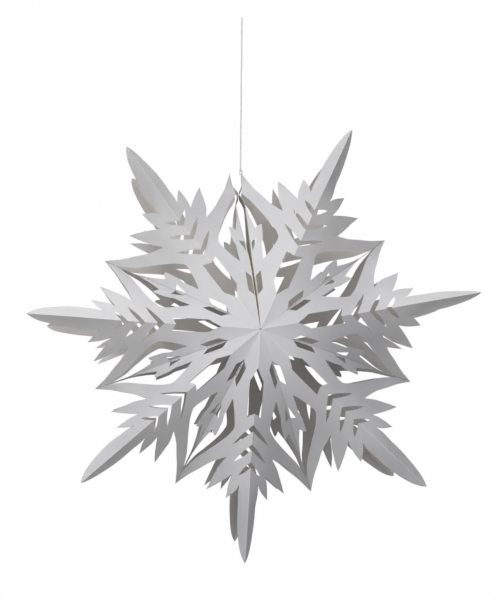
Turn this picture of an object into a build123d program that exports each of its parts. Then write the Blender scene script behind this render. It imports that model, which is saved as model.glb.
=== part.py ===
from build123d import *
import os
from math import acos, atan2, cos, hypot, radians, sin, tan

# A fold-flat paper snowflake star.  Seven die-cut paper pockets stand round
# a common axis.  Each pocket is two sheets joined along a front ridge and a
# back ridge; neighbouring pockets are glued back to back in a flat web that
# holds the star axis.  The first and last webs meet in an open seam at the
# top, closed by a short tie.  A thread hangs the star from the first web.
#
# Frame: origin at the free top end of the hanging thread, +Z up along the
# thread, the star axis along Y, the front face towards -Y.
# Angles round the star are clockwise from +Z as seen from the front.

# ---- star (mm and degrees) ------------------------------------------------
ridge_length = 300.0      # hub corner to the tip of a point, along its ridge
valley_radius = 229.7     # star axis to the outer glue corner of a web
valley_angle = 52.0       # star axis to a valley crease, in the web
paper = 0.2               # thickness of one sheet
hub_radius = 10.0         # inner end of webs and panels, so the stack closes
crease_gap = 0.2          # panel and web stop this short of the valley crease
ridge_gap = 0.35          # each panel stops this short of the ridge line
hub_ridge_gap = 0.7       # the same, at the inner end of the ridge
web_tip_cut = 0.6         # trimmed off a web's corner, along the radius
panel_tip_cut = 0.6       # trimmed off a panel's corner, along the ridge
web_angles = [-4.7, 53.6, 105.5, 158.9, 207.0, 250.7, 296.2, 351.5]
# angle each panel stays clear of its pocket's mid plane, so that the ridge
# never bites into itself while the star folds
ridge_slack = [0.53, 0.28, 0.33, 0.18, 0.11, 0.12, 0.42]

# ---- thread, loop and tie -------------------------------------------------
thread_radius = 1.0
thread_drop = 450.0       # free end of the thread above the star axis
thread_stub = 14.0        # length of thread fixed in the knot
thread_gap = 0.1          # between the stub and the hanging thread
loop_radius = 2.8         # loop through the outer corner of the first web
loop_cord = 0.6           # radius of the loop's cord
loop_hole_at = 226.2      # star axis to the hole the loop goes through
loop_hole = 1.1           # radius of that hole
knot_radius = 1.8
knot_lift = 1.4           # knot centre above the top of the loop
tie_at = 196.5            # star axis to the tie that closes the seam
tie_hole = 0.9            # radius of the tie's holes
tie_cord = 0.5            # radius of the tie's cord
tie_knot = 1.5            # radius of the tie's knot
tie_tail = 1.0            # cord past the last web's plane, at the knotless end
tie_knot_gap = 0.1        # knot clear of the first web's paper

# ---- derived dimensions ---------------------------------------------------
half_depth = valley_radius / tan(radians(valley_angle))
valley_length = hypot(valley_radius, half_depth)
panel_angle = 90.0 - valley_angle          # valley crease to ridge, in a panel
loop_top_at = loop_hole_at + 2 * loop_radius

# ---- cut pattern of one panel ---------------------------------------------
# (across, along) as fractions of the ridge length: "along" runs up the ridge
# from the hub corner, "across" is the distance from the ridge.

# a long window and three chevron slots, open to the ridge
ridge_side = [
    (0.000, 0.165), (0.056, 0.226), (0.057, 0.384), (0.000, 0.360),
    (0.000, 0.408), (0.152, 0.514), (0.000, 0.436),
    (0.000, 0.492), (0.136, 0.588), (0.000, 0.516),
    (0.000, 0.567), (0.093, 0.640), (0.000, 0.592),
]
# the main leaf from its tip, two barbs on its flank, then the top of the arm
# that runs out to the glue corner
leaf_side = [
    (0.000, 1.000), (0.028, 0.986), (0.065, 0.955), (0.095, 0.905),
    (0.112, 0.850), (0.116, 0.795), (0.104, 0.730), (0.081, 0.678),
    (0.133, 0.722), (0.192, 0.757), (0.180, 0.712), (0.163, 0.676),
    (0.141, 0.643), (0.205, 0.677), (0.290, 0.718), (0.370, 0.752),
    (0.330, 0.706), (0.265, 0.640), (0.192, 0.576), (0.310, 0.618),
    (0.400, 0.661), (0.500, 0.709),
]
# opening between the arm and the jagged inner leaf; it runs out over the
# valley crease, so the web's edge is bare between the leaf and the corner
arm_window = [
    (0.180, 0.320), (0.156, 0.385), (0.147, 0.425), (0.152, 0.448),
    (0.200, 0.486), (0.270, 0.528), (0.350, 0.572), (0.450, 0.628),
    (0.551, 0.700), (0.474, 0.602), (0.430, 0.563), (0.385, 0.523),
    (0.322, 0.474),
    (0.308, 0.494), (0.292, 0.497), (0.270, 0.465), (0.246, 0.428),
    (0.238, 0.398), (0.208, 0.360),
]
# two small openings beside the valley crease
hub_slot = [(0.086, 0.158), (0.150, 0.247), (0.172, 0.236), (0.110, 0.150)]
leaf_slot = [(0.264, 0.352), (0.281, 0.418), (0.309, 0.404)]


# ---- placing --------------------------------------------------------------
def radial(angle):
    """Unit vector out from the star axis at an angle round the star."""
    return Vector(sin(radians(angle)), 0, cos(radians(angle)))


# Point on the star axis at mid depth, below and to the right of the thread
# end, so that the top of the loop lies straight under the thread.
centre = Vector(-loop_top_at * sin(radians(web_angles[0])), 0, -thread_drop)


def web_plane(angle):
    """Plane of a web: x along the radius, y along the star axis."""
    outward = radial(angle)
    return Plane(origin=centre, x_dir=outward, z_dir=outward.cross(Vector(0, 1, 0)))


def panel_plane(angle, turn, open_angle, face):
    """Plane of a panel: y along the ridge, x towards the valley crease.

    open_angle is the angle from the web to the ridge, seen along the star
    axis.  turn is +1 for a panel on the clockwise side of its web, -1 for
    the other side; face is -1 for the front of the star, +1 for the back.
    """
    valley_tilt, spread = radians(valley_angle), radians(panel_angle)
    # lean is the tilt of the ridge from the star axis that leaves the panel
    # angle between ridge and valley crease
    axial = cos(valley_tilt)
    outward = sin(valley_tilt) * cos(radians(open_angle))
    lean = atan2(outward, axial) + acos(cos(spread) / hypot(axial, outward))
    axis_in = Vector(0, -face, 0)
    ridge = axis_in * cos(lean) + radial(angle + turn * open_angle) * sin(lean)
    valley = axis_in * cos(valley_tilt) + radial(angle) * sin(valley_tilt)
    across = (valley - ridge * cos(spread)) * (1 / sin(spread))
    return Plane(origin=centre + Vector(0, face * half_depth, 0), x_dir=across,
                 z_dir=across.cross(ridge))


# ---- outlines -------------------------------------------------------------
def scaled(points):
    return [(x * ridge_length, y * ridge_length) for x, y in points]


def on_valley(along):
    """Point of a panel's valley edge, just short of the crease."""
    spread = radians(panel_angle)
    return (along * tan(spread) - crease_gap / cos(spread), along)


def web_edge(radius, side):
    """Point of a web's slanted edge; side is -1 at the front, +1 at the back."""
    tilt = radians(valley_angle)
    half_width = (valley_radius - radius) / tan(tilt) - crease_gap / sin(tilt)
    return (radius, side * half_width)


corner_along = valley_length * cos(radians(panel_angle))
panel_outline = (
    [(hub_ridge_gap, hub_radius)]
    + [(max(x, ridge_gap), y) for x, y in scaled(ridge_side + leaf_side)]
    + [on_valley(corner_along - panel_tip_cut), on_valley(hub_radius)]
)
web_tip = valley_radius - web_tip_cut
web_outline = [web_edge(hub_radius, -1), web_edge(web_tip, -1),
               web_edge(web_tip, 1), web_edge(hub_radius, 1)]


# ---- pieces ---------------------------------------------------------------
def make_web(angle, turn, holes):
    """Glued layer of a sheet, on its pocket's side of the web plane.

    holes lists (distance from the star axis, radius).
    """
    with BuildPart() as web:
        with BuildSketch(web_plane(angle)):
            with BuildLine():
                Polyline(*web_outline, close=True)
            make_face()
            for hole_at, hole_radius in holes:
                with Locations((hole_at, 0)):
                    Circle(hole_radius, mode=Mode.SUBTRACT)
        extrude(amount=-turn * paper)
    return web.part


def make_panel(angle, turn, open_angle, face):
    """Cut panel that folds out of a web along a valley crease."""
    plane = panel_plane(angle, turn, open_angle, face)
    inward = paper if plane.z_dir.Y * face < 0 else -paper
    with BuildPart() as panel:
        with BuildSketch(plane):
            with BuildLine():
                Polyline(*panel_outline, close=True)
            make_face()
            for opening in (arm_window, hub_slot, leaf_slot):
                with BuildLine():
                    Polyline(*scaled(opening), close=True)
                make_face(mode=Mode.SUBTRACT)
        extrude(amount=inward)
    return panel.part


loop_top = centre + radial(web_angles[0]) * loop_top_at
knot_height = loop_top.Z + knot_lift
thread_bottom = knot_height + thread_stub + thread_gap


def make_thread_loop():
    """Loop through the first web's corner, with its knot and thread stub."""
    outward = radial(web_angles[0])
    loop_centre = centre + outward * (loop_hole_at + loop_radius)
    with BuildPart() as thread_loop:
        with BuildSketch(Plane(origin=loop_top, x_dir=outward,
                               z_dir=radial(web_angles[0] + 90))):
            Circle(loop_cord)
        revolve(axis=Axis(loop_centre, (0, 1, 0)), revolution_arc=360)
        with Locations((0, 0, knot_height)):
            Sphere(knot_radius)
        with BuildSketch(Plane.XY.offset(knot_height)):
            Circle(thread_radius)
        extrude(amount=thread_stub)
    return thread_loop.part


def make_hanging_thread():
    """Thread from just above the stub up to the origin."""
    with BuildPart() as hanging_thread:
        with BuildSketch(Plane.XY.offset(thread_bottom)):
            Circle(thread_radius)
        extrude(amount=-thread_bottom)
    return hanging_thread.part


def make_seam_tie():
    """Short cord across the open seam, with a knot inside the first pocket."""
    last_angle = web_angles[-1] - 360
    seam_mid = (web_angles[0] + last_angle) / 2
    seam_half = (web_angles[0] - last_angle) / 2
    across_seam = radial(seam_mid + 90)
    tie_centre = centre + radial(seam_mid) * tie_at
    reach = tie_at * tan(radians(seam_half))
    knot_out = reach + paper + tie_knot + tie_knot_gap
    with BuildPart() as seam_tie:
        with BuildSketch(Plane(origin=tie_centre - across_seam * (reach + tie_tail),
                               x_dir=(0, 1, 0), z_dir=across_seam)):
            Circle(tie_cord)
        extrude(amount=2 * reach + tie_tail + paper + tie_knot)
        with Locations(tie_centre + across_seam * knot_out):
            Sphere(tie_knot)
    return seam_tie.part


# ---- build and export -----------------------------------------------------
def save(part, name):
    part.label = name
    export_step(part, f"parts/{name}.step")


os.makedirs("parts", exist_ok=True)

# holes in the two sheets beside the open seam
web_holes = {
    "point1_ccw": [(loop_hole_at, loop_hole), (tie_at, tie_hole)],
    "point7_cw": [(tie_at, tie_hole)],
}

# fourteen sheets: each is a web layer with a front and a back panel
pockets = zip(web_angles, web_angles[1:], ridge_slack)
for number, (before, after, slack) in enumerate(pockets, start=1):
    open_angle = (after - before) / 2 - slack
    for side, angle, turn in (("ccw", before, 1), ("cw", after, -1)):
        sheet = f"point{number}_{side}"
        save(make_web(angle, turn, web_holes.get(sheet, [])), f"{sheet}_web")
        for name, face in (("front", -1), ("back", 1)):
            save(make_panel(angle, turn, open_angle, face), f"{sheet}_{name}")

save(make_thread_loop(), "thread_loop")
save(make_hanging_thread(), "hanging_thread")
save(make_seam_tie(), "seam_tie")
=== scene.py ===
"""A hanging paper star of seven hollow points, folded from slotted sheets.

The star axis lies along Y and the front faces -Y, with +X to the right as seen from
there. Eight flat webs stand round the axis; between two neighbours is one point. The
side of a point at each web has a front and a back half sheet. The thread hangs from
the origin down -Z. Lengths are in millimetres until they are scaled by MM.
"""
import math
from functools import lru_cache

import bpy
import numpy as np
from mathutils import Matrix, Vector
from mathutils.geometry import delaunay_2d_cdt


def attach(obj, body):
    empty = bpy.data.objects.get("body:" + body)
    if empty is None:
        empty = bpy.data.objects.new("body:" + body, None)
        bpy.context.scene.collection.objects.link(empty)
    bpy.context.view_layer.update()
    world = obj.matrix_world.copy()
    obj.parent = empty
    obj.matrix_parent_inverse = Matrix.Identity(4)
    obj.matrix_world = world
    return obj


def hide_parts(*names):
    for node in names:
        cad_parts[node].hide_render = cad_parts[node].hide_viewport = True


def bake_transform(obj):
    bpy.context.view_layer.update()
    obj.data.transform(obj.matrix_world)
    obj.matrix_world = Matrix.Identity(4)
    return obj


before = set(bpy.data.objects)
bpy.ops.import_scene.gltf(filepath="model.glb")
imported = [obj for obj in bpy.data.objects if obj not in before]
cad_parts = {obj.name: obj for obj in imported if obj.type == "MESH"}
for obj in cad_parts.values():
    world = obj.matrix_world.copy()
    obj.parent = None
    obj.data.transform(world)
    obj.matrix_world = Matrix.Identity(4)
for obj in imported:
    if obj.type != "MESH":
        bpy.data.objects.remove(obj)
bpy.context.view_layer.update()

# ---------------------------------------------------------------- dimensions
MM = 0.001
RIDGE_LEN = 300.0              # hub corner to the tip of a point, along the ridge
GLUE_RADIUS = 229.7            # star axis to the outer glue corner
CREASE_DEG = 52.0              # star axis to the valley crease, in the web
CREASE = math.radians(CREASE_DEG)
HALF_DEPTH = GLUE_RADIUS / math.tan(CREASE)    # hub corner to the mid plane
WEBS = [-4.7, 53.6, 105.5, 158.9, 207.0, 250.7, 296.2, 351.5]   # degrees clockwise from +Z
PAPER = 0.22                   # thickness of one sheet
GLUE = 0.03                    # half the glue line between two sheets
SEAM_DEG = (WEBS[0] + WEBS[7] - 360) / 2       # midway between the two end webs
SEAM_HALF = math.radians((WEBS[0] - WEBS[7] + 360) / 2)
TIE_AT, TIE_HOLE = 196.5, 0.9      # radius along the web, hole radius
LOOP_AT, LOOP_HOLE = 226.2, 1.1
LOOP_RADIUS = 2.8
LOOP_TOP = LOOP_AT + 2 * LOOP_RADIUS
# the top of the loop lies straight below the origin
CENTRE = np.array([-LOOP_TOP * math.sin(math.radians(WEBS[0])), 0.0, -450.0])

# --------------------------------------------------------------- cut pattern
# Fractions of RIDGE_LEN as (across, out): distance from the ridge parallel to the
# star axis, and distance from the star axis. Each stroke is a smooth curve; strokes
# meet in corners.
RIDGE_START = 0.9 / RIDGE_LEN
FOOT_ACROSS = 1.3 / RIDGE_LEN
AXIS_GAP = 11.0 / RIDGE_LEN        # webs stop this short of the axis, so the folded
NEAR_AXIS_GAP = 3.3 / RIDGE_LEN    # stack closes; every third one runs closer
FOOT_TURN = 1.8                    # the foot turns to the hub at this many axis gaps
GLUE_CORNER = (HALF_DEPTH / RIDGE_LEN, GLUE_RADIUS / RIDGE_LEN)
RIDGE = [
    [(0.0, RIDGE_START), (0.000, 0.165)],
    [(0.000, 0.165), (0.027, 0.197), (0.056, 0.226)],
    [(0.056, 0.226), (0.058, 0.305), (0.057, 0.384)],
    [(0.057, 0.384), (0.030, 0.370), (0.000, 0.360)],
    [(0.000, 0.360), (0.000, 0.408)],
    [(0.000, 0.408), (0.078, 0.458), (0.152, 0.514)],
    [(0.152, 0.514), (0.080, 0.481), (0.000, 0.436)],
    [(0.000, 0.436), (0.000, 0.492)],
    [(0.000, 0.492), (0.071, 0.536), (0.136, 0.588)],
    [(0.136, 0.588), (0.072, 0.559), (0.000, 0.516)],
    [(0.000, 0.516), (0.000, 0.567)],
    [(0.000, 0.567), (0.049, 0.600), (0.093, 0.640)],
    [(0.093, 0.640), (0.049, 0.622), (0.000, 0.592)],
    [(0.000, 0.592), (0.000, 1.000)],
]
LEAF = [
    [(0.000, 1.000), (0.028, 0.986), (0.065, 0.955), (0.095, 0.905), (0.112, 0.850),
     (0.116, 0.795), (0.104, 0.730), (0.081, 0.678)],
    [(0.081, 0.678), (0.103, 0.700), (0.133, 0.722), (0.192, 0.757)],
    [(0.192, 0.757), (0.180, 0.712), (0.163, 0.676), (0.141, 0.643)],
    [(0.141, 0.643), (0.205, 0.677), (0.290, 0.718), (0.370, 0.752)],
    [(0.370, 0.752), (0.330, 0.706), (0.265, 0.640), (0.192, 0.576)],
    [(0.192, 0.576), (0.310, 0.618), (0.400, 0.661), (0.500, 0.709), GLUE_CORNER],
]
ARM_WINDOW = [
    [(0.180, 0.320), (0.166, 0.353), (0.156, 0.385), (0.147, 0.425), (0.152, 0.448)],
    [(0.152, 0.448), (0.200, 0.486), (0.270, 0.528), (0.350, 0.572), (0.450, 0.628),
     (0.547, 0.700)],
    [(0.547, 0.700), (0.471, 0.602)],
    [(0.471, 0.602), (0.430, 0.563), (0.385, 0.523), (0.322, 0.474)],
    [(0.322, 0.474), (0.308, 0.494), (0.292, 0.497)],
    [(0.292, 0.497), (0.270, 0.465), (0.246, 0.428)],
    [(0.246, 0.428), (0.242, 0.413), (0.238, 0.398)],
    [(0.238, 0.398), (0.208, 0.360), (0.180, 0.320)],
]
HUB_SLOT = [
    [(0.096, 0.180), (0.128, 0.224), (0.161, 0.266)],
    [(0.161, 0.266), (0.174, 0.236)],
    [(0.174, 0.236), (0.143, 0.193), (0.112, 0.150)],
    [(0.112, 0.150), (0.096, 0.180)],
]
LEAF_SLOT = [
    [(0.264, 0.352), (0.273, 0.385), (0.281, 0.418)],
    [(0.281, 0.418), (0.309, 0.404)],
    [(0.309, 0.404), (0.285, 0.378), (0.264, 0.352)],
]

CUT_STEP = 3.2                 # spacing of vertices along the cuts
# degrees from the star axis of the rows of inner vertices
GRID_DEGS = [2, 5, *range(8, 42, 3), 43.5, *range(45, 60), 60.5, 62, 64, 66.5, 69, 71.5,
             74, 76.5, 79, 81, 83, 85, 87, 88.5, 89.3]


def radial(deg):
    """Unit vector out from the star axis, deg clockwise from +Z seen from the front."""
    angle = math.radians(deg)
    return np.array([math.sin(angle), 0.0, math.cos(angle)])


def clockwise(deg):
    angle = math.radians(deg)
    return np.array([math.cos(angle), 0.0, -math.sin(angle)])


def smooth(x, low=0.0, high=1.0):
    part = np.clip((np.asarray(x, float) - low) / (high - low), 0, 1)
    return part * part * (3 - 2 * part)


def curve(points, steps=28):
    """Catmull-Rom curve through the points, in the plane or in space."""
    p = np.array(points, float)
    padded = np.vstack([2 * p[0] - p[1], p, 2 * p[-1] - p[-2]])
    t = np.linspace(0, 1, steps, endpoint=False)[:, None]
    out = []
    for i in range(1, len(padded) - 2):
        a, b, c, d = padded[i - 1:i + 3]
        out.append(0.5 * (2 * b + (c - a) * t + (2 * a - 5 * b + 4 * c - d) * t ** 2
                          + (3 * b - a - 3 * c + d) * t ** 3))
    return np.vstack(out + [p[-1:]])


def stroke(points):
    """Evenly spaced points in mm along one stroke of the cut pattern."""
    p = np.array(points, float) * RIDGE_LEN
    fine = np.linspace(p[0], p[1], 60) if len(p) == 2 else curve(p, 24)
    lengths = np.linalg.norm(np.diff(fine, axis=0), axis=1)
    run = np.concatenate([[0], np.cumsum(lengths)])
    count = max(1, int(round(run[-1] / CUT_STEP)))
    at = np.linspace(0, run[-1], count + 1)
    return np.column_stack([np.interp(at, run, fine[:, k]) for k in (0, 1)])


def outline(strokes):
    return np.vstack([stroke(points)[:-1] for points in strokes])


def inside(points, polygon):
    x, y = points[:, 0][:, None], points[:, 1][:, None]
    following = np.roll(polygon, -1, axis=0)
    ax, ay = polygon[None, :, 0], polygon[None, :, 1]
    bx, by = following[None, :, 0], following[None, :, 1]
    crosses = (ay > y) != (by > y)
    with np.errstate(divide="ignore", invalid="ignore"):
        x_at = (bx - ax) * (y - ay) / (by - ay) + ax
    return (np.sum(crosses & (x < x_at), axis=1) % 2) == 1


def gap_to(points, starts, ends):
    """Distance from each point to the nearest segment."""
    best = np.full(len(points), 1e9)
    for start, end in zip(starts, ends):
        d = end - start
        t = np.clip(((points - start) @ d) / max(d @ d, 1e-12), 0, 1)
        best = np.minimum(best, np.linalg.norm(points - (start + t[:, None] * d), axis=1))
    return best


def inner_grid():
    """Points on rings round the hub corner, with three rows holding the crease."""
    grid = []
    ring = 3.0
    while ring < 306:
        spacing = math.degrees(2.0 / ring)
        near = max(0.3, min(math.degrees(0.45 / ring), 4.0))
        rows = [deg for deg in GRID_DEGS if abs(deg - CREASE_DEG) > near + 0.5 * spacing]
        rows += [CREASE_DEG - near, CREASE_DEG, CREASE_DEG + near]
        last = -99
        for deg in sorted(rows):
            if deg - last < spacing and abs(deg - CREASE_DEG) > near + 1e-6:
                continue
            last = deg
            angle = math.radians(deg)
            grid.append((ring * math.cos(angle), ring * math.sin(angle)))
        ring += 3.0 if ring < 24 else 5.0
    return np.array(grid)


def outer_cut(axis_gap, centre_holes):
    """Whole outer boundary of a half sheet: ridge, leaf, centre line and foot."""
    middle = GLUE_CORNER[0]
    centre_line = []
    top = GLUE_RADIUS
    for at, hole in sorted(centre_holes, reverse=True):
        centre_line.append(stroke([(middle, top / RIDGE_LEN),
                                   (middle, (at + hole) / RIDGE_LEN)])[:-1])
        turn = np.linspace(math.pi / 2, 3 * math.pi / 2, 11)
        centre_line.append(np.column_stack([HALF_DEPTH + hole * np.cos(turn),
                                            at + hole * np.sin(turn)])[:-1])
        top = at - hole
    centre_line.append(stroke([(middle, top / RIDGE_LEN), (middle, axis_gap)])[:-1])
    turn_at = FOOT_TURN * axis_gap
    foot = [stroke([(middle, axis_gap), (turn_at, axis_gap)])[:-1],
            stroke([(turn_at, axis_gap), (FOOT_ACROSS, RIDGE_START)])]
    return np.vstack([outline(RIDGE), outline(LEAF)] + centre_line + foot)


def flat_sheet(axis_gap, centre_holes=()):
    """One half sheet laid flat: vertices (across, out), triangles, gap to a cut edge.

    centre_holes: (radius along the web, hole radius) of round holes on the centre
    line, where the front and back halves meet.
    """
    outer = outer_cut(axis_gap, centre_holes)
    holes = [outline(strokes) for strokes in (ARM_WINDOW, HUB_SLOT, LEAF_SLOT)]
    loops = [outer] + holes
    starts = np.vstack(loops)
    ends = np.vstack([np.roll(points, -1, axis=0) for points in loops])

    def on_paper(points):
        keep = inside(points, outer)
        for hole in holes:
            keep &= ~inside(points, hole)
        return keep

    grid = inner_grid()
    grid = grid[on_paper(grid)]
    by_crease = np.abs(grid[:, 0] * math.sin(CREASE) - grid[:, 1] * math.cos(CREASE)) < 1.6
    grid = grid[gap_to(grid, starts, ends) > np.where(by_crease, 0.5, 1.5)]

    edges, first = [], 0
    for points in loops:
        count = len(points)
        edges += [(first + i, first + (i + 1) % count) for i in range(count)]
        first += count
    cdt = delaunay_2d_cdt([Vector(p) for p in np.vstack([starts, grid])], edges, [], 0, 1e-6)
    verts = np.array([tuple(p) for p in cdt[0]])
    tris = np.array([face for face in cdt[2] if len(face) == 3])
    tris = tris[on_paper(verts[tris].mean(axis=1))]
    a, b, c = verts[tris[:, 0]], verts[tris[:, 1]], verts[tris[:, 2]]
    area = (b[:, 0] - a[:, 0]) * (c[:, 1] - a[:, 1]) - (b[:, 1] - a[:, 1]) * (c[:, 0] - a[:, 0])
    solid = np.abs(area) > 1e-7
    tris, area = tris[solid], area[solid]
    tris[area < 0] = tris[area < 0][:, ::-1]
    used = np.unique(tris)
    renumber = -np.ones(len(verts), int)
    renumber[used] = np.arange(len(used))
    verts, tris = verts[used], renumber[tris]
    # the ridge and the centre line are folds, not cut edges
    at_centre = HALF_DEPTH - 1e-6
    cut = (np.minimum(starts[:, 0], ends[:, 0]) > 1e-6) & \
          ~((starts[:, 0] > at_centre) & (ends[:, 0] > at_centre))
    return verts, tris, gap_to(verts, starts[cut], ends[cut])


# --------------------------------------------------------------- fold tables
# Local frame of a half sheet: x along the star axis into the star, y along the
# web's radius, z from the web into the pocket.  Origin: the front (or back)
# hub corner, where every ridge and valley starts.
FLAT_STEP = 0.1                             # degrees between table entries
FLAT_ANGLES = np.radians(np.arange(0, 90.01, FLAT_STEP))
BENDS = [0.15, 0.4, 1.0, 2.0]               # half widths of the valley bend, degrees
BEND_PARTS = 12                             # arcs that make up one bend
BEND_DEG, BEND_MOST = 0.3, 0.6              # half width: degrees at the hub, mm at most
BEND_FADE = (0, 60)                         # it narrows this near the centre line


def rotate(v, axis, angle):
    return (v * math.cos(angle) + np.cross(axis, v) * math.sin(angle)
            + axis * (axis @ v) * (1 - math.cos(angle)))


def step_frame(frame, bend, length):
    """Moves (direction, tangent, normal) on by length along the unit sphere."""
    size = math.sqrt(1 + bend * bend)
    axis = (frame[2] + bend * frame[0]) / size
    return tuple(rotate(v, axis, size * length) for v in frame)


def ridge_plane(open_rad):
    """Normal of the plane that holds the ridge and the star axis."""
    return np.array([0.0, -math.sin(open_rad), math.cos(open_rad)])


def fold_table(open_rad, bend_deg):
    """Directions and normals at FLAT_ANGLES, for one softness of bend."""
    x = np.linspace(-1, 1, BEND_PARTS + 1)
    cuts = CREASE + math.radians(bend_deg) * x
    done = (1 + x + np.sin(math.pi * x) / math.pi) / 2
    rates = np.diff(done) / np.diff(cuts)
    start = tuple(np.eye(3))
    plane = ridge_plane(open_rad)

    def miss(fold):
        frame = step_frame(start, 0.0, cuts[0])
        for rate, length in zip(rates, np.diff(cuts)):
            frame = step_frame(frame, fold * rate, length)
        return step_frame(frame, 0.0, math.pi / 2 - cuts[-1])[0] @ plane

    # halve the range until the ridge lands in its plane
    low, high = 0.2, 1.35
    for _ in range(22):
        fold = (low + high) / 2
        if miss(fold) < 0:
            low = fold
        else:
            high = fold

    directions, normals, frame, at = [], [], start, 0.0
    stops = sorted(set([(cut, 1) for cut in cuts] + [(flat, 0) for flat in FLAT_ANGLES]))
    for stop, is_cut in stops:
        middle = (at + stop) / 2
        bend = 0.0
        if cuts[0] < middle < cuts[-1]:
            part = min(BEND_PARTS - 1, int(np.searchsorted(cuts, middle)) - 1)
            bend = fold * rates[part]
        if stop > at:
            frame = step_frame(frame, bend, stop - at)
            at = stop
        if not is_cut:
            directions.append(frame[0])
            normals.append(frame[2])
    return np.array(directions), np.array(normals)


@lru_cache(maxsize=None)
def fold_tables(open_deg):
    pairs = [fold_table(math.radians(open_deg), bend) for bend in BENDS]
    return np.array([pair[0] for pair in pairs]), np.array([pair[1] for pair in pairs])


def look_up(open_deg, across, reach, angle):
    """Folded unit directions and normals of flat points, from the fold tables."""
    width = np.minimum(reach * math.tan(math.radians(BEND_DEG)), BEND_MOST)
    width = width * smooth(HALF_DEPTH - across, *BEND_FADE)
    bend = np.clip(np.degrees(np.arctan2(width, reach)), BENDS[0], BENDS[-1])
    level = np.interp(bend, BENDS, np.arange(len(BENDS)))
    i = np.minimum(level.astype(int), len(BENDS) - 2)
    i_part = (level - i)[:, None]
    place = np.degrees(angle) / FLAT_STEP
    j = np.clip(place.astype(int), 0, len(FLAT_ANGLES) - 2)
    j_part = (place - j)[:, None]

    def pick(table):
        a = table[i, j] * (1 - j_part) + table[i, j + 1] * j_part
        b = table[i + 1, j] * (1 - j_part) + table[i + 1, j + 1] * j_part
        mixed = a * (1 - i_part) + b * i_part
        return mixed / np.linalg.norm(mixed, axis=1)[:, None]

    return [pick(table) for table in fold_tables(open_deg)]


# -------------------------------------------------------------- folded shape
# Pairs named FADE, RISE or FALL are where a smooth step starts and ends.
HUB_VALLEY, HUB_RIDGE = 0.30, 0.16    # fall of valleys and ridges near the hub
HUB_ROUND = 1.5                       # power of the curve from valley to ridge
HUB_FADE = (25, 190)                  # distance from the axis
HUB_WEB_REACH = 14.0                  # how deep the hub shift runs into the web
SLACK = 17.0                          # how far the slotted part of a ridge sinks in
SLACK_RISE, SLACK_FALL = (60, 150), (165, 245)

# the leaf and its barbs, in fractions of RIDGE_LEN
RIM_LOW = (0.678, 0.082, 0.70)        # row, width there, widening per row
RIM_HIGH = (0.70, 0.0974, 0.9)        # the same, from this row on
RIM_MOST = 0.122
CLOSE_RISE = (0.665, 0.80)            # rows where the leaf folds more sharply
CLOSE_EVEN, CLOSE_WIDE = 0.8, 0.2     # share of the fold at the ridge, more at the rim
LEAF_WIDTH = 0.116
BARB_RISE = (0.60, 0.78)              # rows
BARB_WIDTH = 0.20                     # the tilt grows no further than this
BARB_EASE, EASE_RISE = 0.3, (0.06, 0.13)      # less tilt on the wide part
CURL, CURL_WIDTH, CURL_SPAN = 1.3, 0.10, 26.0     # mm, fraction, mm
TIP_CURL, TIP_FROM, TIP_SPAN = 4.0, 0.09, 0.28    # mm, fractions
SLIT_CORNER, SLIT_SLOPE = (0.192, 0.576), 0.432   # paper is free beyond this line
SLIT_RISE, FREE_FALL = (0, 0.05), (0.38, 0.40)

# the arms between leaf and glue corner, in fractions of RIDGE_LEN
ARM_RISE = (0.12, 0.30)
ARM_CORNER, ARM_SLOPE = (0.152, 0.40), 0.6    # lower line of the arms
ARM_LINE_RISE, ARM_CREASE_FALL = (0, 0.05), (-0.10, 0.0)

# the two end webs, side by side at the seam
LEAN = 0.043                          # lean towards the first point
LEAN_RISE, LEAN_FALL = (60, 100), (205, 228)
LAST_LEAN_SPAN = 14.0                 # the last web leans only this near the tie
SEAM_FREE = 2.0                       # gap left as it is up to this width
SEAM_RISE = (66, 150)
PINCH_GAP, PINCH_SPAN = 0.5, 9.0      # gap at the tie, and its reach
BOW_FADE = (0, 34)                    # distance past the crease, on the panel

CREASE_MARGIN = math.radians(2.2)     # the web follows no panel short of this


def settle(points, angle, open_rad):
    """Lays the sheet flatter near the hub and sinks the slotted part of the ridge."""
    from_axis = np.hypot(points[:, 1], points[:, 2])
    turn = np.arctan2(points[:, 2], np.maximum(points[:, 1], 1e-9)) / open_rad
    turn = np.clip(turn, 0, 1)
    aim = from_axis * (HUB_VALLEY + (HUB_RIDGE - HUB_VALLEY) * turn ** HUB_ROUND)
    near_hub = 1 - smooth(from_axis, *HUB_FADE)
    past_crease = np.clip(points[:, 0] - from_axis / math.tan(CREASE), 0, None)
    web_shift = (near_hub * from_axis * (HUB_VALLEY - 1 / math.tan(CREASE))
                 * np.exp(-past_crease / HUB_WEB_REACH))
    points[:, 0] += np.where(angle >= CREASE, near_hub * (aim - points[:, 0]), web_shift)
    points[:, 0] += (SLACK * turn * smooth(from_axis, *SLACK_RISE)
                     * (1 - smooth(from_axis, *SLACK_FALL)))


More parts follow.
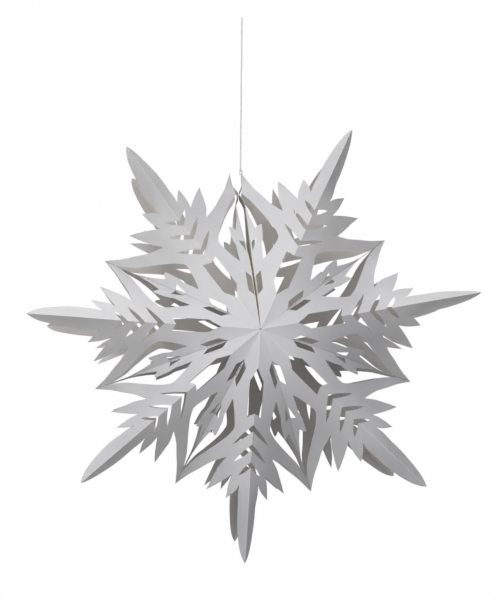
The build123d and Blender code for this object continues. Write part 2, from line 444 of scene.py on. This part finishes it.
def leaf_push(across, out, close_deg, barb_deg, curl):
    """Push along the normal that tilts the leaf and its barbs and curls their edges."""
    def part(fraction):
        return fraction * RIDGE_LEN

    def rim_width(row, width, slope):
        return width + slope * (rows - row)

    rows = out / RIDGE_LEN
    rim = np.where(rows < RIM_HIGH[0], rim_width(*RIM_LOW), rim_width(*RIM_HIGH))
    leaf = (across <= part(np.clip(rim, 0, RIM_MOST))) & (rows > CLOSE_RISE[0])
    wide = smooth(across, part(EASE_RISE[0]), part(EASE_RISE[1]))
    slit_x, slit_y = part(SLIT_CORNER[0]), part(SLIT_CORNER[1])
    slit = np.where(across > slit_x, slit_y + SLIT_SLOPE * (across - slit_x), slit_y)
    free = smooth(out - slit, part(SLIT_RISE[0]), part(SLIT_RISE[1]))
    free = free * (1 - smooth(across, part(FREE_FALL[0]), part(FREE_FALL[1])))

    tilt = math.tan(math.radians(barb_deg))
    push = tilt * np.minimum(across, part(BARB_WIDTH)) * (1 - BARB_EASE * wide)
    push = push + CURL * (np.minimum(across, part(CURL_WIDTH)) / CURL_SPAN) ** 2 * curl
    push = push * smooth(rows, *BARB_RISE) * free
    past = np.clip(across - part(TIP_FROM), 0, None)
    push = push + TIP_CURL * (past / part(TIP_SPAN)) ** 2 * free * curl
    more = math.tan(math.radians(close_deg)) - tilt
    sharper = (more * across * (CLOSE_EVEN + CLOSE_WIDE * across / part(LEAF_WIDTH))
               * smooth(rows, *CLOSE_RISE))
    return push + np.where(leaf, sharper, 0.0)


def arm_share(across, out):
    """One on the arms between leaf and glue corner, fading to zero elsewhere."""
    x, y = across / RIDGE_LEN, out / RIDGE_LEN
    to_crease = (across - out / math.tan(CREASE)) / RIDGE_LEN
    above = y - ARM_CORNER[1] - ARM_SLOPE * (x - ARM_CORNER[0])
    return (smooth(x, *ARM_RISE) * smooth(above, *ARM_LINE_RISE)
            * (1 - smooth(to_crease, *ARM_CREASE_FALL)))


def seam_shift(points, out, reach, angle, web, back):
    """How far an end web moves towards the seam, out of its pocket."""
    whole = 2 * out * math.tan(SEAM_HALF)      # gap between straight webs
    gap = (np.minimum(whole, SEAM_FREE)
           + np.maximum(whole - SEAM_FREE, 0) * smooth(out, *SEAM_RISE))
    pinch = np.exp(-((out - TIE_AT) / PINCH_SPAN) ** 2)
    gap = gap * (1 - pinch) + PINCH_GAP * pinch
    crease_at = out / math.tan(CREASE)
    deep = np.clip(points[:, 0] - crease_at, 0, None)
    if back:
        deep = 2 * (HALF_DEPTH - crease_at) - deep
    if web == 0:
        lean = smooth(out, *LEAN_RISE) * (1 - smooth(out, *LEAN_FALL))
    else:
        lean = -np.exp(-((out - TIE_AT) / LAST_LEAN_SPAN) ** 2)
    past_crease = reach * np.sin(np.clip(angle - CREASE, 0, None))
    return ((whole - gap) / 2 - LEAN * lean * deep) * (1 - smooth(past_crease, *BOW_FADE))


def panel_share(points, height, angle, open_rad):
    """How far round the crease each point stands: 0 follows the web, 1 the panel."""
    along_axis, across_axis = math.cos(CREASE), math.sin(CREASE) * math.cos(open_rad)
    panel = math.pi / 2 - CREASE               # crease to ridge, in the panel
    ridge = (math.atan2(across_axis, along_axis)
             + math.acos(math.cos(panel) / math.hypot(along_axis, across_axis)))
    fold = math.asin(math.sin(open_rad) * math.sin(ridge) / math.sin(panel))
    far = points @ np.array([-math.sin(CREASE), math.cos(CREASE), 0.0])
    turned = np.clip(np.arctan2(height, np.maximum(far, 1e-6)) / fold, 0, 1)
    share = np.where(far > 1e-6, turned, 0)
    return np.where(angle < CREASE - CREASE_MARGIN, 0, share)


def vertex_normals(points, tris):
    """Unit vertex normals, towards the pocket."""
    a, b, c = points[tris[:, 0]], points[tris[:, 1]], points[tris[:, 2]]
    face_normals = np.cross(b - a, c - a)
    normals = np.zeros_like(points)
    for k in range(3):
        np.add.at(normals, tris[:, k], face_normals)
    return normals / np.linalg.norm(normals, axis=1)[:, None]


def half_shape(open_deg, flat, web, back, close_deg, barb_deg, curl):
    """Outer and inner vertices of one half sheet in its local frame, and how far
    each vertex follows the panel rather than the web."""
    verts, tris, _ = flat
    across, out = verts[:, 0], verts[:, 1]
    reach, angle = np.hypot(across, out), np.arctan2(out, across)
    open_rad = math.radians(open_deg)
    directions, normals = look_up(open_deg, across, reach, angle)
    points = directions * reach[:, None]
    settle(points, angle, open_rad)
    points = points + normals * leaf_push(across, out, close_deg, barb_deg, curl)[:, None]
    to_middle = np.clip(HALF_DEPTH - points[:, 0], 0, None)
    points[:, 0] += ARM_SAG[back] * arm_share(across, out) * to_middle

    end_web = web in (0, 7)
    shift = seam_shift(points, out, reach, angle, web, back) if end_web else 0.0
    points[:, 2] -= shift
    share = panel_share(points, points[:, 2] + shift, angle, open_rad)

    normals = vertex_normals(points, tris)
    outer = points + normals * GLUE
    inner = points + normals * (GLUE + PAPER)
    # keep the paper on its own side of the ridge plane and of the web
    plane = ridge_plane(open_rad)
    for layer in (outer, inner):
        over = np.maximum(layer @ plane + 0.02, 0)
        layer -= over[:, None] * plane
        if not end_web:
            layer[:, 2] = np.maximum(layer[:, 2], GLUE * 0.5)
    return outer, inner, share


# ----------------------------------------------------------------- materials
class Shader:
    """Builds the node tree of a material or of the world."""

    def __init__(self, owner):
        owner.use_nodes = True
        self.tree = owner.node_tree
        self.tree.nodes.clear()

    def node(self, kind, inputs=None, **settings):
        """A new node; an input is either a value or a socket to link from."""
        made = self.tree.nodes.new(kind)
        for key, value in settings.items():
            setattr(made, key, value)
        for key, value in (inputs or {}).items():
            if isinstance(value, bpy.types.NodeSocket):
                self.tree.links.new(value, made.inputs[key])
            else:
                made.inputs[key].default_value = value
        return made

    def noise(self, vector, scale, detail=2.0, roughness=0.5):
        return self.node("ShaderNodeTexNoise", {
            "Vector": vector, "Scale": scale, "Detail": detail,
            "Roughness": roughness}).outputs["Fac"]

    def math(self, operation, a, b, clamp=False):
        return self.node("ShaderNodeMath", {0: a, 1: b}, operation=operation,
                         use_clamp=clamp).outputs[0]

    def times(self, a, b, clamp=False):
        return self.math("MULTIPLY", a, b, clamp)

    def ramp(self, value, source=(0.0, 1.0), target=(0.0, 1.0)):
        return self.node("ShaderNodeMapRange", {
            "Value": value, "From Min": source[0], "From Max": source[1],
            "To Min": target[0], "To Max": target[1]}).outputs["Result"]

    def mix(self, amount, a, b):
        return self.node("ShaderNodeMix", {0: amount, 6: a, 7: b},
                         data_type="RGBA").outputs[2]

    def bump(self, height, strength, distance):
        return self.node("ShaderNodeBump", {
            "Height": height, "Strength": strength, "Distance": distance}).outputs["Normal"]

    def attribute(self, name):
        return self.node("ShaderNodeAttribute", attribute_name=name).outputs["Fac"]

    def surface(self, shader, kind="ShaderNodeOutputMaterial"):
        self.node(kind, {"Surface": shader.outputs[0]})


def paper_material():
    mat = bpy.data.materials.new("paper")
    s = Shader(mat)
    shades = {
        "cool": (0.800, 0.803, 0.822, 1), "pale": (0.845, 0.845, 0.856, 1),
        "fibre": (0.70, 0.70, 0.70, 1), "speck": (0.72, 0.71, 0.69, 1),
        # inside is painted warm light, the warmth of light passing through the paper into the
        # pockets
        "inside": (0.830, 0.812, 0.775, 1), "worn": (0.70, 0.685, 0.655, 1),
        # fold is a painted highlight along the ridge; the tan after it tints the end webs by
        # the seam
        "fold": (0.98, 0.98, 0.98, 1), "glue": (0.82, 0.75, 0.58, 1),
        "glow": (0.88, 0.855, 0.80, 1), "glue_glow": (0.95, 0.85, 0.63, 1)}

    uv = s.node("ShaderNodeTexCoord").outputs["UV"]
    stretched = s.node("ShaderNodeMapping", {"Vector": uv, "Scale": (1.0, 0.35, 1.0)})
    # uneven pulp centimetres wide, fibres lying one way, felt side of the sheet
    cloud = s.noise(uv, scale=22.0, detail=3.0, roughness=0.55)
    fibre = s.noise(stretched.outputs["Vector"], scale=1500.0, detail=4.0, roughness=0.7)
    felt = s.noise(uv, scale=420.0, detail=3.0, roughness=0.6)
    specks = s.node("ShaderNodeTexVoronoi", {"Vector": uv, "Scale": 900.0}, feature="F1")

    edge, ridge = s.attribute("edge"), s.attribute("ridge")
    warm_light_mask, strip = s.attribute("inside"), s.attribute("strip")

    colour = s.mix(s.ramp(cloud, source=(0.35, 0.65)), shades["cool"], shades["pale"])
    fibres = s.times(s.ramp(fibre, source=(0.35, 0.7)), 0.12)
    colour = s.mix(fibres, colour, shades["fibre"])
    speckle = s.ramp(specks.outputs["Distance"], source=(0.0, 0.12), target=(0.25, 0.0))
    colour = s.mix(speckle, colour, shades["speck"])
    # painted warm light: the inner faces, and the outer faces on the web, are tinted warm
    colour = s.mix(s.times(warm_light_mask, 0.55), colour, shades["inside"])
    # the wear lies within 0.9 mm of a cut, a painted highlight within 1.7 mm of the ridge
    worn = s.times(s.ramp(edge, source=(0.0, 0.9), target=(1.0, 0.0)),
                   s.ramp(felt, source=(0.38, 0.62), target=(0.1, 1.0)), clamp=True)
    colour = s.mix(s.times(worn, 0.5), colour, shades["worn"])
    # painted highlight: the paper is whitened along the ridge fold, where a rounded fold would
    # catch light
    fold = s.times(s.ramp(ridge, source=(0.0, 1.7), target=(1.0, 0.0)),
                   s.ramp(felt, source=(0.3, 0.7), target=(0.65, 1.0)), clamp=True)
    colour = s.mix(s.times(fold, 0.85), colour, shades["fold"])
    # a warm tan on the end webs' outer faces near the axis, by the seam
    colour = s.mix(s.times(strip, 0.85), colour, shades["glue"])

    # worn edges are rougher and lie lower
    rough = s.math("ADD", s.ramp(felt, source=(0.3, 0.7), target=(0.74, 0.9)),
                   s.times(worn, 0.08))
    height = s.math("ADD", s.times(fibre, 0.6), s.times(felt, 0.5))
    height = s.math("ADD", height, s.times(worn, -0.5))
    normal = s.bump(height, strength=0.35, distance=0.00008)

    face = s.node("ShaderNodeBsdfPrincipled", {
        "Base Color": colour, "Roughness": rough, "Normal": normal,
        "Specular IOR Level": 0.22, "Sheen Weight": 0.06})
    glow = s.node("ShaderNodeBsdfTranslucent", {
        "Color": s.mix(strip, shades["glow"], shades["glue_glow"]), "Normal": normal})
    # 0.3 of the light passes through plain paper, 0.4 more through the tan strip by the seam
    through = s.math("ADD", s.times(strip, 0.40), 0.30)
    s.surface(s.node("ShaderNodeMixShader",
                     {0: through, 1: face.outputs[0], 2: glow.outputs[0]}))
    return mat


def thread_material():
    mat = bpy.data.materials.new("thread")
    s = Shader(mat)
    place = s.node("ShaderNodeTexCoord").outputs["Object"]
    fuzz = s.noise(place, scale=2200.0, detail=5.0)
    stain = s.ramp(s.noise(place, scale=180.0), source=(0.4, 0.7), target=(0.0, 0.4))
    dark, pale = (0.60, 0.59, 0.58, 1), (0.86, 0.85, 0.83, 1)
    stain_colour = (0.70, 0.66, 0.60, 1)
    s.surface(s.node("ShaderNodeBsdfPrincipled", {
        "Base Color": s.mix(stain, s.mix(fuzz, dark, pale), stain_colour),
        "Normal": s.bump(fuzz, strength=0.6, distance=0.00006),
        "Roughness": s.ramp(fuzz, target=(0.55, 0.95)),
        "Sheen Weight": 0.3}))
    return mat


def floor_material():
    """Pale to the camera, a dim bounce on the paper."""
    mat = bpy.data.materials.new("floor")
    s = Shader(mat)
    cloud = s.node("ShaderNodeTexNoise", {"Scale": 3.0}).outputs["Fac"]
    seen = s.node("ShaderNodeLightPath").outputs["Is Camera Ray"]
    s.surface(s.node("ShaderNodeBsdfPrincipled", {
        "Roughness": s.ramp(cloud, target=(0.85, 0.95)),
        "Base Color": s.ramp(seen, target=(0.55, 0.86)),
        "Emission Strength": s.ramp(seen, target=(0.13, 0.66)),
        "Emission Color": (1, 1, 1, 1)}))
    return mat


PAPER_MAT, THREAD_MAT = paper_material(), thread_material()


# ---------------------------------------------------------------- the sheets
# Sharper fold of each leaf's free end at its ridge, and tilt of its barbs, in
# degrees: (anticlockwise side, clockwise side) of points 1 to 7.
LEAF_CLOSE = [(15, 18), (15, 14), (9, 7), (13, 9), (11, -1), (7, 1), (8, 13)]
BARB_TILT = [(8, 6), (12, 5), (1, 0), (3, 1), (8, 1), (-5, 0), (-1, 10)]
ARM_SAG = (0.05, 0.26)                # sag of the arms, front and back
# where the "inside" attribute (painted warm light in the pockets) and the "strip" attribute
# (warm tan by the seam) fade, in degrees and in mm from the axis
WEB_FACE_FADE, STRIP_FADE, STRIP_END = (50.5, 51.8), (51.4, 52.0), (80, 135)


def add_object(name, data):
    ob = bpy.data.objects.new(name, data)
    bpy.context.scene.collection.objects.link(ob)
    return ob


def add_mesh(name, verts, faces, mat):
    """Smooth mesh object from vertices in mm."""
    mesh = bpy.data.meshes.new(name)
    mesh.from_pydata([tuple(v) for v in np.array(verts) * MM], [],
                     [tuple(int(i) for i in face) for face in faces])
    mesh.polygons.foreach_set("use_smooth", np.ones(len(mesh.polygons), bool))
    mesh.materials.append(mat)
    return add_object(name, mesh)


def sharpen(mesh, edges):
    index_of = {tuple(sorted(edge.vertices)): edge.index for edge in mesh.edges}
    sharp = np.zeros(len(mesh.edges), bool)
    for a, b in edges:
        sharp[index_of[tuple(sorted((int(a), int(b))))]] = True
    mesh.edges.foreach_set("use_edge_sharp", sharp)


def sheet_object(name, outer, inner, flat, corner, basis, uv_shift, uv_side, glued):
    verts, tris, edge_gap = flat
    n = len(verts)
    sides = dict.fromkeys(edge for a, b, c in tris for edge in ((a, b), (b, c), (c, a)))
    rim = [edge for edge in sides if (edge[1], edge[0]) not in sides]
    faces = [(c, b, a) for a, b, c in tris] + [(a + n, b + n, c + n) for a, b, c in tris]
    faces += [(a, b, b + n, a + n) for a, b in rim]
    if np.linalg.det(basis) < 0:
        faces = [tuple(reversed(face)) for face in faces]
    ob = add_mesh(name, np.vstack([outer, inner]) @ basis + corner, faces, PAPER_MAT)
    mesh = ob.data
    sharpen(mesh, rim + [(a + n, b + n) for a, b in rim])

    degrees = np.degrees(np.arctan2(verts[:, 1], verts[:, 0]))
    # painted warm light: on the outer faces, the web part short of the crease takes the warm
    # inside tint too
    web_side = 1.0 - smooth(degrees, *WEB_FACE_FADE)
    # the warm tan strip lies on the two end webs only, near the axis and short of the crease
    strip = (glued * (1.0 - smooth(verts[:, 1], *STRIP_END))
             * (1.0 - smooth(degrees, *STRIP_FADE)))
    for key, values in (("edge", np.tile(edge_gap, 2)), ("ridge", np.tile(verts[:, 0], 2)),
                        ("inside", np.concatenate([web_side, np.ones(n)])),
                        ("strip", np.concatenate([strip, np.zeros(n)]))):
        attribute = mesh.attributes.new(key, "FLOAT", "POINT")
        attribute.data.foreach_set("value", values.astype(np.float32))

    layer = mesh.uv_layers.new(name="flat")
    uv = np.column_stack([uv_side * (HALF_DEPTH - verts[:, 0]) * MM + uv_shift,
                          verts[:, 1] * MM + 0.7 * uv_shift])
    index = np.zeros(len(mesh.loops), int)
    mesh.loops.foreach_get("vertex_index", index)
    layer.data.foreach_set("uv", np.vstack([uv, uv])[index].astype(np.float32).ravel())
    return ob


def add_half_sheet(number, side, face):
    """side: 0 anticlockwise, 1 clockwise; face: -1 front, 1 back."""
    turn = 1 - 2 * side
    web = number - 1 + side
    open_deg = (WEBS[number] - WEBS[number - 1]) / 2
    outer, inner, share = half_shape(
        open_deg, FLATS[web], web, back=face > 0,
        close_deg=LEAF_CLOSE[number - 1][side], barb_deg=BARB_TILT[number - 1][side],
        curl=1.0 + 0.22 * math.sin(7.3 * number + 2.1 * turn + 1.7 * face))
    corner = CENTRE + np.array([0, face * HALF_DEPTH, 0])
    web_out = radial(WEBS[web])
    basis = np.array([[0, -face, 0.0], web_out, turn * clockwise(WEBS[web])])
    base = f"point{number}_{('ccw', 'cw')[side]}"
    panel = f"{base}_{'back' if face > 0 else 'front'}"
    ob = sheet_object(f"{panel}_sheet", outer, inner, FLATS[web], corner, basis,
                      uv_shift=0.41 * number + 0.13 * turn, uv_side=-face,
                      glued=1.0 if web in (0, 7) else 0.0)
    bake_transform(ob)
    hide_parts(panel, f"{base}_web")


short_flat, near_flat = flat_sheet(AXIS_GAP), flat_sheet(NEAR_AXIS_GAP)
FLATS = {web: short_flat if web % 3 else near_flat for web in range(1, 7)}
FLATS[0] = flat_sheet(NEAR_AXIS_GAP, [(LOOP_AT, LOOP_HOLE), (TIE_AT, TIE_HOLE)])
FLATS[7] = flat_sheet(AXIS_GAP, [(TIE_AT, TIE_HOLE)])

for number in range(1, 8):
    for side in (0, 1):
        for face in (-1, 1):
            add_half_sheet(number, side, face)


# --------------------------------------------------------------- the threads
PLIES = 3
PLY_OFFSET, PLY_RADIUS = 0.48, 0.50       # shares of the thread's radius
THREAD = {"radius": 1.05, "pitch": 5.4}   # the hanging thread and its stub
FINE_PITCH = 2.4                          # of the loose ends and the tie
KNOT_PITCH = 2.6
KNOT_Z = CENTRE[2] + LOOP_TOP * radial(WEBS[0])[2] + 1.4
STUB_Z = KNOT_Z + 14.0                    # the hanging thread ends here
SWAY_FADE = (0, 30)                       # the sway dies out at both ends


def tube_frames(path, closed):
    """Two unit vectors across the path at each of its points."""
    if closed:
        tangents = np.roll(path, -1, 0) - np.roll(path, 1, 0)
    else:
        tangents = np.gradient(path, axis=0)
    tangents /= np.linalg.norm(tangents, axis=1)[:, None]
    a = np.cross(tangents[0], np.array([0.3, 0.9, 0.2]))
    a /= np.linalg.norm(a)
    frames = []
    for tangent in tangents:
        a = a - tangent * (a @ tangent)
        a /= np.linalg.norm(a)
        frames.append((a.copy(), np.cross(tangent, a)))
    if closed:      # spread the frame's closing twist round the loop
        end = frames[-1][0] - tangents[0] * (frames[-1][0] @ tangents[0])
        end /= np.linalg.norm(end)
        twist = math.atan2(end @ frames[0][1], end @ frames[0][0])
        for i, (a, b) in enumerate(frames):
            c, s = math.cos(-twist * i / len(path)), math.sin(-twist * i / len(path))
            frames[i] = (a * c + b * s, b * c - a * s)
    return frames


def tube(path, radius, sides, closed=False):
    path = np.array(path, float)
    n = len(path)
    verts, faces = [], []
    for centre, (a, b) in zip(path, tube_frames(path, closed)):
        for k in range(sides):
            turn = 2 * math.pi * k / sides
            verts.append(centre + radius * (math.cos(turn) * a + math.sin(turn) * b))
    for i in range(n if closed else n - 1):
        j = (i + 1) % n
        for k in range(sides):
            m = (k + 1) % sides
            faces.append((i * sides + k, i * sides + m, j * sides + m, j * sides + k))
    if not closed:
        faces.append(tuple(range(sides))[::-1])
        faces.append(tuple((n - 1) * sides + k for k in range(sides)))
    return verts, faces


def join(parts):
    verts, faces = [], []
    for part_verts, part_faces in parts:
        faces += [tuple(i + len(verts) for i in face) for face in part_faces]
        verts += part_verts
    return verts, faces


def spun(path, radius, pitch, closed=False, phase=0.0):
    """Plied thread along a path: plies wound round one another."""
    path = np.array(path, float)
    frames = tube_frames(path, closed)
    a, b = (np.array([frame[k] for frame in frames]) for k in (0, 1))
    ring = np.vstack([path, path[:1]]) if closed else path
    gone = np.linalg.norm(np.diff(ring, axis=0), axis=1)
    run = np.concatenate([[0], np.cumsum(gone)])[:len(path)]
    whole = run[-1] + (gone[-1] if closed else 0)
    turns = whole / pitch
    if closed:
        turns = max(1, round(turns))
    plies = []
    for k in range(PLIES):
        turn = 2 * math.pi * (k / PLIES + turns * run / whole) + phase
        ply = path + PLY_OFFSET * radius * (np.cos(turn)[:, None] * a
                                            + np.sin(turn)[:, None] * b)
        plies.append(tube(ply, PLY_RADIUS * radius, 7, closed))
    return join(plies)


def trefoil(centre, size, turn):
    """Trefoil knot, turned about Y by turn radians."""
    t = np.linspace(0, 2 * math.pi, 90, endpoint=False)
    x = (np.sin(t) + 2 * np.sin(2 * t)) / 3
    y = (np.cos(t) - 2 * np.cos(2 * t)) / 3
    z = -np.sin(3 * t) * 0.75
    c, s = math.cos(turn), math.sin(turn)
    return np.column_stack([c * x - s * z, y, s * x + c * z]) * size + centre


def add_thread(piece, rider, parts):
    ob = add_mesh(f"{piece}_yarn", *join(parts), THREAD_MAT)
    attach(ob, rider)
    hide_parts(piece)


def stray_fibre(i):
    """One fine fibre standing off the thread, upwards or downwards in turn."""
    z = -6.0 - i * 7.6
    angle = i * 2.399
    lift = 2.2 if i % 2 else -2.2
    path = []
    for f in (j / 5 for j in range(6)):
        away = 0.9 * (1 + 0.8 * f)
        path.append([away * math.cos(angle + f), away * math.sin(angle + f), z + lift * f])
    return tube(path, radius=0.05, sides=4)


def add_hanging_thread():
    z = np.linspace(0.0, STUB_Z, 420)
    fade = smooth(-z, *SWAY_FADE) * smooth(z - STUB_Z, *SWAY_FADE)
    path = np.column_stack([0.12 * np.sin(z * 0.09) * fade,
                            0.10 * np.sin(z * 0.07 + 1.0) * fade, z])
    add_thread("hanging_thread", "thread",
               [spun(path, **THREAD)] + [stray_fibre(i) for i in range(26)])


def add_thread_loop():
    """The loop through the first web, its double knot, loose end and stub of thread."""
    out, over = radial(WEBS[0]), clockwise(WEBS[0])
    a = np.linspace(0, 2 * math.pi, 72, endpoint=False)[:, None]
    ring = (CENTRE + out * (LOOP_AT + LOOP_RADIUS)
            + LOOP_RADIUS * (np.cos(a) * out + 0.6 * np.sin(a) * over))
    knot = np.array([0, 0, KNOT_Z])
    z = np.linspace(KNOT_Z + 0.4, STUB_Z, 34)
    tail = knot + np.array([(0.9, -0.9, 0.2), (1.9, -1.5, -0.8),
                            (2.6, -1.7, -2.6), (2.7, -1.5, -4.4)])
    lower_knot = knot + np.array([0, 0, -0.5])
    add_thread("thread_loop", "web_0", [
        spun(ring, radius=0.63, pitch=3.6, closed=True),
        spun(trefoil(knot, size=1.25, turn=0.6), 0.62, KNOT_PITCH, closed=True),
        spun(trefoil(lower_knot, size=1.1, turn=2.0), 0.55, KNOT_PITCH, closed=True),
        spun(np.column_stack([0 * z, 0 * z, z]), **THREAD, phase=0.7),
        spun(curve(tail), 0.5, FINE_PITCH)])


def add_seam_tie():
    """The tie that holds the two end webs together."""
    out, over = radial(SEAM_DEG), clockwise(SEAM_DEG)
    basis = np.array([over, (0, 1, 0), out])
    tie = CENTRE + out * TIE_AT + over * LEAN * (GLUE_RADIUS - TIE_AT) / math.tan(CREASE)
    knot = tie + over * 1.55
    # offsets (clockwise, towards the back, out from the axis)
    line = tie + np.array([(-3.4, 0.6, -1.2), (-1.6, 0, 0), (0, 0, 0), (1.3, 0, 0)]) @ basis
    tail = knot + np.array([(0.4, 0, 0), (1.4, -0.8, -1.4), (1.6, -1.0, -3.6)]) @ basis
    add_thread("seam_tie", "web_0", [
        spun(curve(line), 0.5, FINE_PITCH),
        spun(trefoil(knot, size=0.95, turn=1.1), 0.48, FINE_PITCH, closed=True),
        spun(curve(tail), 0.42, FINE_PITCH)])


add_hanging_thread()
add_thread_loop()
add_seam_tie()

# ------------------------------------------------------ floor, light, camera
FLOOR_HALF, FLOOR_Z = 6.0, -1.75      # metres
SENSOR, LENS = 36, 83.94
YAW, PITCH, ROLL = (math.radians(deg) for deg in (3.14, -4.22, 0.54))
CENTRE_SEEN = np.array([6.9, 1946.7, -49.86])     # right, ahead and up of the camera


def add_floor():
    mesh = bpy.data.meshes.new("floor")
    corners = [(-1, -1), (1, -1), (1, 1), (-1, 1)]
    mesh.from_pydata([(x * FLOOR_HALF, y * FLOOR_HALF, FLOOR_Z) for x, y in corners],
                     [], [(0, 1, 2, 3)])
    add_object("floor", mesh)
    mesh.materials.append(floor_material())


def add_world():
    """Near white to the camera, a dim cool light on everything else."""
    world = bpy.data.worlds.new("studio")
    bpy.context.scene.world = world
    s = Shader(world)
    seen = s.node("ShaderNodeBackground", {"Color": (0.992, 0.992, 0.992, 1), "Strength": 1.0})
    lit = s.node("ShaderNodeBackground", {"Color": (0.965, 0.955, 1.07, 1), "Strength": 0.165})
    camera_ray = s.node("ShaderNodeLightPath").outputs["Is Camera Ray"]
    s.surface(s.node("ShaderNodeMixShader",
                     {0: camera_ray, 1: lit.outputs[0], 2: seen.outputs[0]}),
              "ShaderNodeOutputWorld")


def soft_light(name, toward, distance, size, irradiance, colour):
    """Disk light aimed at the star; toward points from the star to the light."""
    data = bpy.data.lights.new(name, "AREA")
    data.shape = "DISK"
    data.size = size
    data.energy = irradiance * math.pi * distance * distance
    data.color = colour
    ob = add_object(name, data)
    direction = Vector(toward).normalized()
    ob.location = Vector(CENTRE * MM) + direction * distance
    ob.rotation_mode = "QUATERNION"
    ob.rotation_quaternion = direction.to_track_quat("Z", "Y")
    ob.visible_camera = False


def add_camera():
    yaw_pitch = np.array([
        [math.cos(YAW), -math.sin(YAW), 0.0],
        [math.cos(PITCH) * math.sin(YAW), math.cos(PITCH) * math.cos(YAW), -math.sin(PITCH)],
        [math.sin(PITCH) * math.sin(YAW), math.sin(PITCH) * math.cos(YAW), math.cos(PITCH)]])
    roll = np.array([[math.cos(ROLL), 0, math.sin(ROLL)], [0, 1, 0],
                     [-math.sin(ROLL), 0, math.cos(ROLL)]])
    axes = yaw_pitch @ roll
    right, ahead, up = axes
    place = (CENTRE - axes.T @ CENTRE_SEEN) * MM
    data = bpy.data.cameras.new("camera")
    data.lens = LENS
    data.sensor_width = SENSOR
    data.clip_start, data.clip_end = 0.05, 30
    camera = add_object("camera", data)
    matrix = Matrix.Identity(4)
    for i, column in enumerate((right, up, -ahead, place)):
        for j in range(3):
            matrix[j][i] = column[j]
    camera.matrix_world = matrix
    bpy.context.scene.camera = camera


add_floor()
add_world()
soft_light("key_light", toward=(-0.31, -0.90, 0.30), distance=1.25, size=1.3,
           irradiance=2.58, colour=(0.985, 0.99, 1.0))
soft_light("fill_light", toward=(0.48, -0.48, 0.73), distance=1.6, size=1.4,
           irradiance=0.42, colour=(0.985, 0.985, 1.0))
soft_light("top_light", toward=(-0.15, 0.55, 0.82), distance=2.2, size=1.3,
           irradiance=2.00, colour=(1.0, 0.985, 0.96))
add_camera()
bpy.context.scene.view_settings.view_transform = "Standard"
